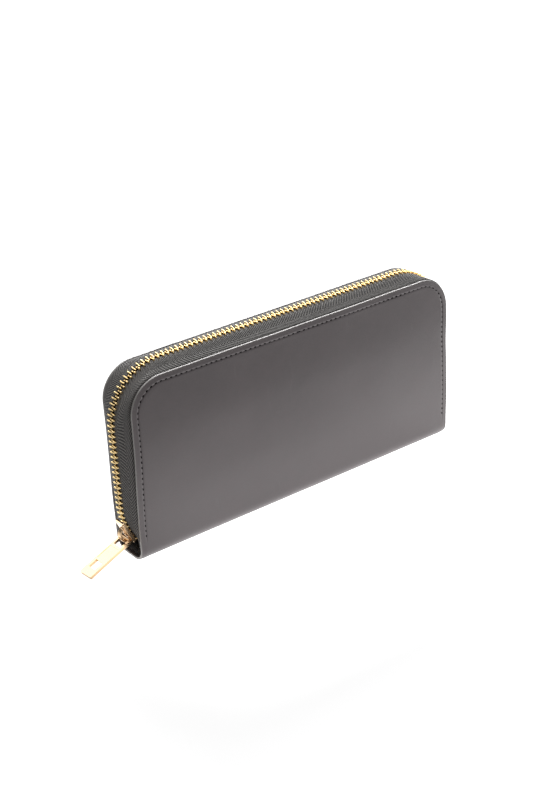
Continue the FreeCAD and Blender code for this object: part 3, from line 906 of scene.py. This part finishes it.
def make_gusset(end, side):
    """Cloth folded in a V between a card panel and the pouch's end, its crease pointing inwards."""
    node = "gusset_%s_%s" % (end, side)
    low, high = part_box(node)
    x_sign = -1 if end == "left" else 1
    y_sign = -1 if side == "front" else 1
    rim, crease = max(abs(low.x), abs(high.x)), min(abs(low.x), abs(high.x))
    outer, inner = max(abs(low.y), abs(high.y)), pouch_side + gusset_gap
    steps_z, steps = 14, 24
    verts = []
    for k in range(steps_z + 1):
        z = low.z + (high.z - low.z) * k / steps_z
        line = []
        for i in range(steps + 1):
            t = 2 * i / steps - 1
            fold_in = 1 - math.sqrt(t * t + 0.006) / math.sqrt(1.006)
            sag = abs(0.5 * MM * noise.noise(Vector((t * 2, z * 60, x_sign * y_sign * 4.0))))
            start = rim + (pouch_end - rim) * max(t, 0.0)
            line.append(Vector((start + (crease - start) * fold_in + sag * fold_in, 0, 0)))
            line[-1].y = outer + (inner - outer) * (t + 1) / 2
        for face in (-1, 1):
            for i, point in enumerate(line):
                along = (line[min(i + 1, steps)] - line[max(i - 1, 0)]).normalized()
                p = point + Vector((-along.y, along.x, 0)) * face * cloth_thick / 2
                verts.append((x_sign * p.x, y_sign * p.y, z))
    faces = shell_faces(steps_z + 1, steps + 1)
    obj = face_outwards(add_object("pleat_%s_%s" % (end, side), verts, faces))
    finish_piece(obj, lining_material, "lining_cloth", None, node)
    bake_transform(obj)
    return obj


def make_coin_tape(side):
    """The coin zip's tape: down the outside of the pouch wall, over its edge and in to the teeth."""
    node = "coin_zip_tape_" + side
    low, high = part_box(node)
    sign = -1 if side == "front" else 1
    out_y = max(abs(low.y), abs(high.y))
    in_y = min(abs(low.y), abs(high.y))
    top = high.z
    bend = coin_tape_bend
    outline = [(out_y, low.z), (out_y, low.z + 3 * MM), (out_y, top - bend)]
    outline += [
        (out_y - bend + bend * math.cos(a), top - bend + bend * math.sin(a))
        for a in (math.radians(30), math.radians(60), math.radians(90))
    ]
    outline += [(out_y - 2 * bend, top), (in_y, top)]
    steps = 60
    verts, maps = [], []
    for i in range(steps + 1):
        x = low.x + (high.x - low.x) * i / steps
        for face in (0, 1):
            across = 0.0
            for j, (y, z) in enumerate(outline):
                if j:
                    across += math.hypot(y - outline[j - 1][0], z - outline[j - 1][1])
                level = min(max((z - (top - bend)) / bend, 0.0), 1.0) if y > out_y - bend else 1.0
                inward = tape_thick * face
                y2 = y - inward * (1 - level) * 0.96
                z2 = z - inward * level
                verts.append((x, sign * y2, z2))
                maps.append((x, across))
    faces = shell_faces(steps + 1, len(outline))
    obj = face_outwards(add_object("coin_tape_" + side, verts, faces))
    set_map(obj, maps)
    return finish_piece(obj, weave_material, "zip_tape", "spine", node)


def make_coin_teeth(side):
    node = "coin_zip_teeth_" + side
    low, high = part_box(node)
    half_thick = 0.46 * MM
    count = round((high.x - low.x - 2 * half_thick) / coin_pitch) + 1
    places = [
        (Vector((low.x + half_thick + i * coin_pitch, 0, coin_chain_z)), Vector((0, 0, 1)))
        for i in range(count)
    ]
    obj = teeth_object("coin_teeth_" + side, places, side, coin_tooth_scale)
    return finish_piece(obj, brass_material, "zip_brass", "spine", node)


make_cover("front", 3.0)
make_cover("back", 11.0)
make_stitches("front", 3.0)
make_stitches("back", 11.0)
for side in ("front", "back"):
    make_tape(side)
    make_main_teeth(side)
    make_coin_tape(side)
    make_coin_teeth(side)
    for end in ("left", "right"):
        make_gusset(end, side)
    half = side + "_half"
    soft_copy("card_base_" + side, "card_panel_" + side, inner_round, half)
    make_lining(side)
    for tier in range(1, 5):
        node = "card_slot_%d_%s" % (tier, side)
        soft_copy("slot_%d_%s" % (tier, side), node, inner_round, half)
    slot_stitches(side)
soft_copy("pouch", "coin_pouch", 0.22 * MM, "spine")
for node, width, body in (
    ("slider_body", 0.18 * MM, "slider"),
    ("slider_bridge", 0.16 * MM, "slider"),
    ("pull_tab", 0.14 * MM, "pull"),
    ("coin_slider_body", 0.12 * MM, "coin_slider"),
    ("coin_slider_bridge", 0.1 * MM, "coin_slider"),
    ("coin_pull_tab", 0.1 * MM, "coin_pull"),
):
    rounded_copy(node + "_cast", node, width, gold_material, "slider_gold", body)
for node, body in (
    ("top_stop_front", "front_half"),
    ("top_stop_back", "back_half"),
    ("bottom_stop", "spine"),
    ("coin_zip_stop_left", "spine"),
    ("coin_zip_stop_right", "spine"),
):
    rounded_copy(node + "_clamp", node, 0.12 * MM, brass_material, "zip_brass", body)

# ---- CAD nodes that keep their shape ----
slot_materials = {
    "cover_leather": cover_material,
    "inner_leather": inner_material,
    "board": card_material,
    "lining_cloth": lining_material,
    "zip_tape": weave_material,
    "thread": stitch_material,
    "zip_brass": brass_material,
    "slider_gold": gold_material,
}
for entry in frame["record"]["subparts"]:
    kept = frame["nodes"][entry["node"]]
    kept.data.materials.clear()
    kept.data.materials.append(slot_materials[entry["material_slot"]])

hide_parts("cover_spine")


# ---- Floor, light and camera ----
def make_floor():
    """A white table that glows: evenly everywhere, plus painted pools of light round the wallet's foot and away to
    its right.
    """
    size = 12.0
    corners = [(-size, -size, 0), (size, -size, 0), (size, size, 0), (-size, size, 0)]
    floor = add_object("floor", corners, [(0, 1, 2, 3)])
    s = Shader("pale_floor")
    at = s.node("SeparateXYZ", {0: s.node("TexCoord").outputs["Object"]})
    # Painted pools of light in the floor's glow: brightest just in front of the wallet's foot, fading in front,
    # behind and to the left, with another brighter area further to the right.
    near = s.fade(at.outputs[1], -0.15, -0.06, 0.0, 1.75)
    behind = s.fade(at.outputs[1], 0.0, 0.12, 1.0, 0.0)
    left = s.fade(at.outputs[0], -0.16, -0.06)
    right = s.fade(at.outputs[0], 0.28, 0.38, 0.0, 1.3)
    painted_light_pool = s.math("MULTIPLY", s.math("MULTIPLY", near, behind), left)
    glow_with_painted_light_pools = s.math("ADD", s.math("ADD", painted_light_pool, right), 0.41)
    tone = s.noise(s.place(), 3.0, 2.0)
    s.set(Base_Color=s.mix(tone, (0.46, 0.46, 0.46), (0.5, 0.5, 0.5)), Roughness=0.6)
    s.set(Emission_Color=(1.0, 1.0, 1.0, 1.0), Emission_Strength=glow_with_painted_light_pools)
    floor.data.materials.append(s.material)


def make_light(name, power, size, place, target):
    data = bpy.data.lights.new(name, "AREA")
    data.energy = power
    data.shape = "RECTANGLE"
    data.size, data.size_y = size
    light = bpy.data.objects.new(name, data)
    light.location = place
    light.rotation_mode = "QUATERNION"
    light.rotation_quaternion = (Vector(target) - Vector(place)).to_track_quat("-Z", "Y")
    bpy.context.scene.collection.objects.link(light)


def make_camera():
    """A view from the front left and above, slightly rolled."""
    azimuth, elevation, roll = (math.radians(v) for v in (-35.664, 26.165, -3.311))
    distance, right_shift, up_shift = 0.7884, 0.00983, 0.00003
    aim = Vector((0, 0, 0.05))
    level = math.cos(elevation)
    back = Vector((math.sin(azimuth) * level, -math.cos(azimuth) * level, math.sin(elevation)))
    right = (-back).cross(Vector((0, 0, 1))).normalized()
    up = right.cross(-back)
    r = math.cos(roll) * right + math.sin(roll) * up
    u = -math.sin(roll) * right + math.cos(roll) * up
    data = bpy.data.cameras.new("camera")
    data.sensor_width = 36
    data.lens = 71.273
    data.clip_start, data.clip_end = 0.05, 20
    camera = bpy.data.objects.new("camera", data)
    place = aim - right_shift * r - up_shift * u + distance * back
    turn = Matrix((r, u, back)).transposed().to_4x4()
    camera.matrix_world = Matrix.Translation(place) @ turn
    bpy.context.scene.collection.objects.link(camera)
    bpy.context.scene.camera = camera


make_floor()
make_light("top_softbox", 20.0, (1.4, 1.6), (0, 0.5, 1.05), (0, 0.1, 0))
make_light("back_softbox", 14.0, (0.9, 0.5), (0.62, 0.86, 0.56), (0, 0, 0.08))
world = bpy.data.worlds.new("studio")
world.use_nodes = True
world.node_tree.nodes["Background"].inputs["Color"].default_value = (1, 1, 1, 1)
world.node_tree.nodes["Background"].inputs["Strength"].default_value = 0.2
bpy.context.scene.world = world
bpy.context.scene.view_settings.view_transform = "Standard"
make_camera()
